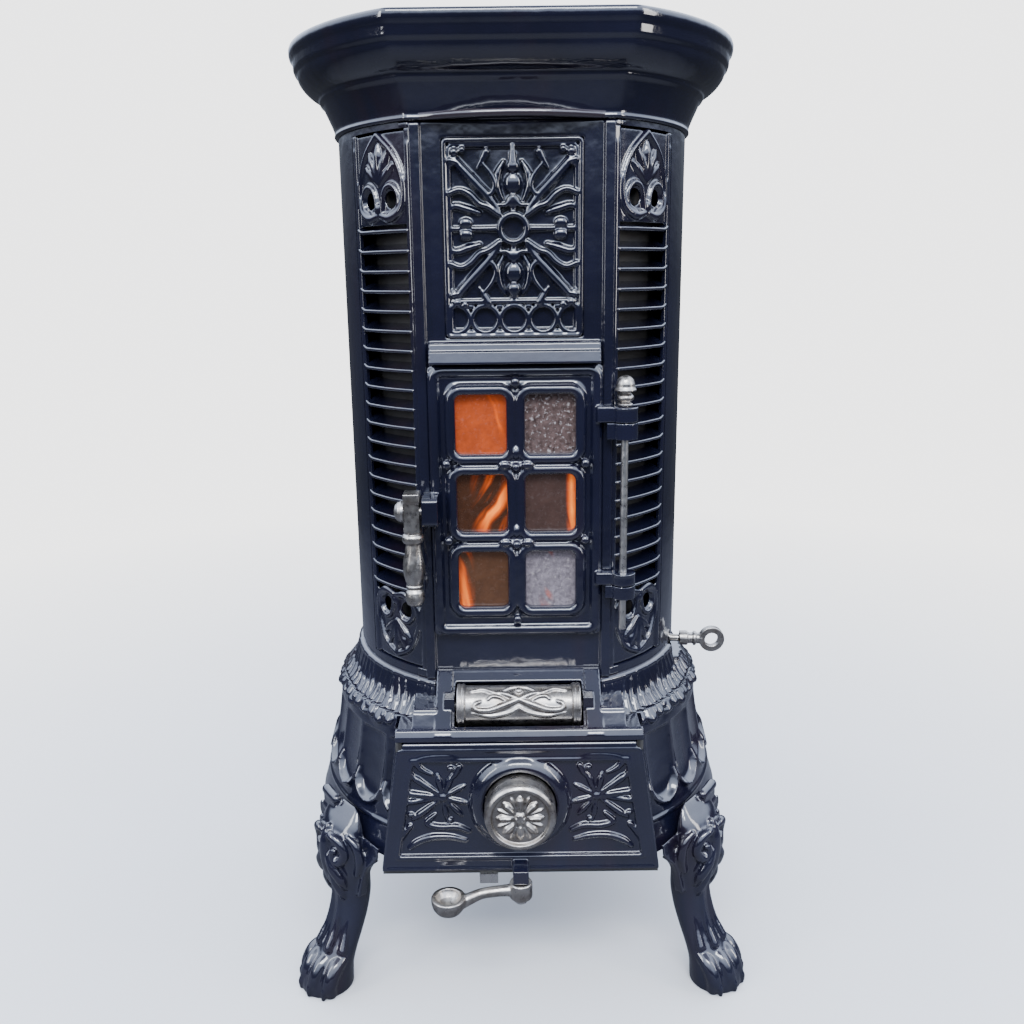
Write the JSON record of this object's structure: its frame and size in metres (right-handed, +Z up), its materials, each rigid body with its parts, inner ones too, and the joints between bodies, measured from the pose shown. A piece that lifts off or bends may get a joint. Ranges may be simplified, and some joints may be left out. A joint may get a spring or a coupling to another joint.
{
  "type": "wood burning stove",
  "caption": "Free-standing enamelled cast-iron wood stove: round drum with glazed fire door, louvred sides, flared top, ash door with screw air regulator, cabriole legs, rear flue.",
  "frame": {"origin": "on the floor under the drum's axis, which is the middle of the whole stove's box", "axes": "+Z up; the fire door faces -Y; +X is the right-hand side seen from the front, where the hinge pin and the shaker lever are"},
  "size_m": [0.4654, 0.4832, 0.93],
  "materials": {
    "enamel": "glossy vitreous enamel, blue-black",
    "bare_iron": "blackleaded cast iron",
    "sheet_steel": "sooty sheet steel",
    "nickel": "worn nickel plate",
    "firebrick": "fired clay brick",
    "mica": "heat-stained mica",
    "rope_seal": "woven glass-fibre rope"
  },
  "bodies": {
    "stove": {"base_shell": "enamel", "hearth_hood": "enamel", "base_floor": "bare_iron", "leg_front_left": "enamel", "leg_front_right": "enamel", "leg_rear_left": "enamel", "leg_rear_right": "enamel", "leg_bolts": "bare_iron", "body_shell": "enamel", "front_plate": "enamel", "ornament_grille": "enamel", "side_grille_left": "enamel", "side_grille_right": "enamel", "cornice": "enamel", "top_plate": "bare_iron", "lid_ring": "bare_iron", "flue_collar": "bare_iron", "flue_bolts": "bare_iron", "fire_drum": "sheet_steel", "fire_bricks": "firebrick", "hearth_plate": "bare_iron", "grate_ring": "bare_iron", "ash_pan": "sheet_steel", "tie_rods": "bare_iron", "tie_rod_nuts": "bare_iron", "latch_keeper": "enamel", "hinge_brackets": "enamel", "ash_door_pins": "bare_iron", "drum_trunnions": "bare_iron", "ash_keeper_tab": "nickel"},
    "fire_door": {"door_frame": "enamel", "mica_top_left": "mica", "mica_top_right": "mica", "mica_middle_left": "mica", "mica_middle_right": "mica", "mica_bottom_left": "mica", "mica_bottom_right": "mica", "pane_retainer": "sheet_steel", "retainer_screws": "nickel", "door_rope": "rope_seal", "latch_screw": "nickel"},
    "latch_handle": {"latch_handle": "nickel"},
    "hinge_pin": {"hinge_pin": "nickel", "pin_finial": "nickel"},
    "ash_door": {"ash_door": "enamel", "ash_latch_pin": "nickel"},
    "regulator_spindle": {"regulator_spindle": "bare_iron", "regulator_nut": "bare_iron"},
    "regulator_knob": {"regulator_knob": "nickel"},
    "ash_latch": {"ash_latch_lever": "nickel"},
    "hearth_drum": {"hearth_drum": "nickel"},
    "shaker": {"grate": "bare_iron", "shaker_lever": "nickel"},
    "cooking_lid": {"cooking_lid": "bare_iron"}
  },
  "joints": [
    {"name": "fire_door_hinge", "type": "hinge", "parent": "stove", "child": "fire_door", "pos_m": [0.1, -0.158, 0.51], "axis": [0, 0, 1], "range_deg": [0, 110]},
    {"name": "latch_handle_lift", "type": "hinge", "parent": "fire_door", "child": "latch_handle", "pos_m": [-0.096, -0.171, 0.51], "axis": [-1, 0, 0], "range_deg": [0, 80]},
    {"name": "hinge_pin_draw", "type": "slide", "parent": "stove", "child": "hinge_pin", "axis": [0, 0, 1], "range_m": [0, 0.214]},
    {"name": "ash_door_flap", "type": "hinge", "parent": "stove", "child": "ash_door", "pos_m": [0, -0.2025, 0.291], "axis": [-1, 0, 0], "range_deg": [0, 95]},
    {"name": "regulator_travel", "type": "slide", "parent": "ash_door", "child": "regulator_spindle", "axis": [0, -1, 0], "range_m": [0, 0.008]},
    {"name": "regulator_turn", "type": "hinge", "parent": "regulator_spindle", "child": "regulator_knob", "pos_m": [0, -0.22, 0.232], "axis": [0, -1, 0], "range_deg": [0, 720]},
    {"name": "ash_latch_turn", "type": "hinge", "parent": "ash_door", "child": "ash_latch", "pos_m": [0, -0.22, 0.148], "axis": [0, 0, 1], "range_deg": [0, 85]},
    {"name": "hearth_drum_turn", "type": "hinge", "parent": "stove", "child": "hearth_drum", "pos_m": [0, -0.176, 0.319], "axis": [1, 0, 0], "range_deg": [0, 90]},
    {"name": "shaker_swing", "type": "hinge", "parent": "stove", "child": "shaker", "pos_m": [0, 0, 0.326], "axis": [0, 0, 1], "range_deg": [-10, 10]},
    {"name": "lid_lift", "type": "slide", "parent": "stove", "child": "cooking_lid", "axis": [0, 0, 1], "range_m": [0, 0.12]}
  ],
  "couplings": [
    {"joint": "regulator_travel", "follows": "regulator_turn", "m_per_rad": 0.00063662}
  ]
}
